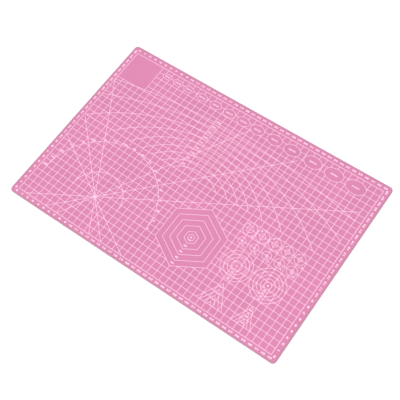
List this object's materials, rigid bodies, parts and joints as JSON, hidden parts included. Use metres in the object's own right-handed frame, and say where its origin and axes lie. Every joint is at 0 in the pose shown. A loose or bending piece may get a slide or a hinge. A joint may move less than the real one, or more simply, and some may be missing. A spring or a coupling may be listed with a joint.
{
  "type": "self healing cutting mat",
  "caption": "Flat A3 cutting mat with round corners: soft self healing plies bonded to a rigid core, printed with a measuring grid, protractor, radius gauge and shape templates.",
  "frame": {"origin": "centre of the underside, on the surface that the mat lies on", "axes": "+X along the long side, the way the scale counts up; +Y along the short side, away from the scale's zero; +Z out of the work face"},
  "size_m": [0.45, 0.3, 0.003],
  "materials": {
    "print_ink": "matte",
    "self_healing_pvc": "matte",
    "cushion_pvc": "matte",
    "core_pvc": "matte"
  },
  "bodies": {
    "root": {"top_print": "print_ink", "top_cutting_ply": "self_healing_pvc", "top_cushion_ply": "cushion_pvc", "rigid_core": "core_pvc", "bottom_cushion_ply": "cushion_pvc", "bottom_cutting_ply": "self_healing_pvc"}
  },
  "joints": []
}
